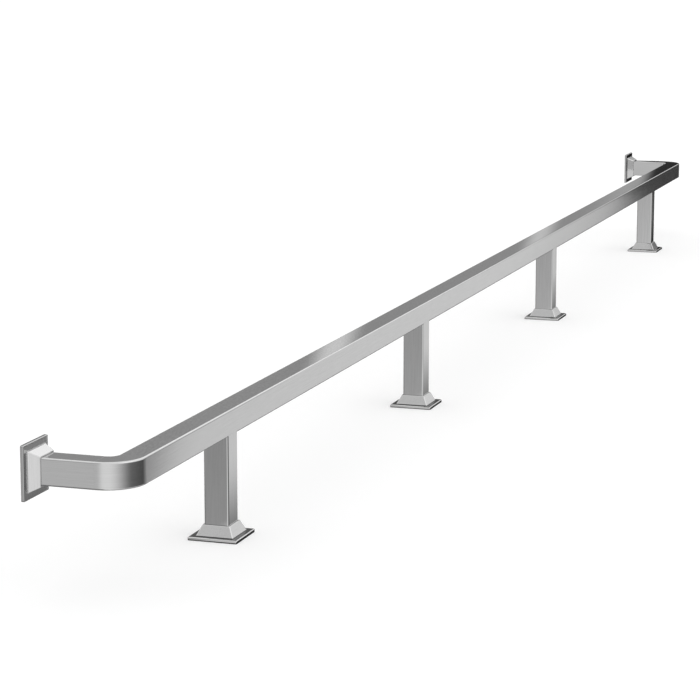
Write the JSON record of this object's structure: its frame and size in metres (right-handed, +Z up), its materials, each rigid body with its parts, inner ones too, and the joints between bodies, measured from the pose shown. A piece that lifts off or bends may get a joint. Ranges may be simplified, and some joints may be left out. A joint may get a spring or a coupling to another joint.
{
  "type": "bar foot rail",
  "caption": "Square-tube foot rail on floor posts, turned back to the wall at both ends, with pyramid covers over its flange plates.",
  "frame": {"origin": "on the floor, at the middle of the outline", "axes": "+X along the rail to the end with the longer bay, +Y to the wall, +Z up"},
  "size_m": [3.8562, 0.168, 0.2095],
  "materials": {
    "brushed_tube": "brushed along the tube",
    "plate": "satin, polished edge",
    "cover": "fine satin",
    "inner_steel": "as machined",
    "screw": "plain stainless"
  },
  "bodies": {
    "frame": {"rail_tube": "brushed_tube", "left_elbow": "brushed_tube", "right_elbow": "brushed_tube", "left_return": "brushed_tube", "right_return": "brushed_tube", "post_tube_1": "brushed_tube", "post_tube_2": "brushed_tube", "post_tube_3": "brushed_tube", "post_tube_4": "brushed_tube", "post_plug_1": "inner_steel", "post_plug_2": "inner_steel", "post_plug_3": "inner_steel", "post_plug_4": "inner_steel", "nut_plate_1": "inner_steel", "nut_plate_2": "inner_steel", "nut_plate_3": "inner_steel", "nut_plate_4": "inner_steel", "floor_stub_1": "inner_steel", "floor_stub_2": "inner_steel", "floor_stub_3": "inner_steel", "floor_stub_4": "inner_steel", "left_wall_stub": "inner_steel", "right_wall_stub": "inner_steel", "floor_plate_1": "plate", "floor_plate_2": "plate", "floor_plate_3": "plate", "floor_plate_4": "plate", "left_wall_plate": "plate", "right_wall_plate": "plate", "rail_screws": "screw", "post_screws": "screw", "return_screws": "screw", "elbow_screws": "screw"},
    "floor_cover_1": {"floor_cover_1": "cover"},
    "floor_cover_2": {"floor_cover_2": "cover"},
    "floor_cover_3": {"floor_cover_3": "cover"},
    "floor_cover_4": {"floor_cover_4": "cover"},
    "left_wall_cover": {"left_wall_cover": "cover"},
    "right_wall_cover": {"right_wall_cover": "cover"}
  },
  "joints": [
    {"name": "floor_cover_1_lift", "type": "slide", "parent": "frame", "child": "floor_cover_1", "axis": [0, 0, 1], "range_m": [0, 0.13]},
    {"name": "floor_cover_2_lift", "type": "slide", "parent": "frame", "child": "floor_cover_2", "axis": [0, 0, 1], "range_m": [0, 0.13]},
    {"name": "floor_cover_3_lift", "type": "slide", "parent": "frame", "child": "floor_cover_3", "axis": [0, 0, 1], "range_m": [0, 0.13]},
    {"name": "floor_cover_4_lift", "type": "slide", "parent": "frame", "child": "floor_cover_4", "axis": [0, 0, 1], "range_m": [0, 0.13]},
    {"name": "left_wall_cover_slide", "type": "slide", "parent": "frame", "child": "left_wall_cover", "axis": [0, -1, 0], "range_m": [0, 0.075]},
    {"name": "right_wall_cover_slide", "type": "slide", "parent": "frame", "child": "right_wall_cover", "axis": [0, -1, 0], "range_m": [0, 0.075]}
  ]
}
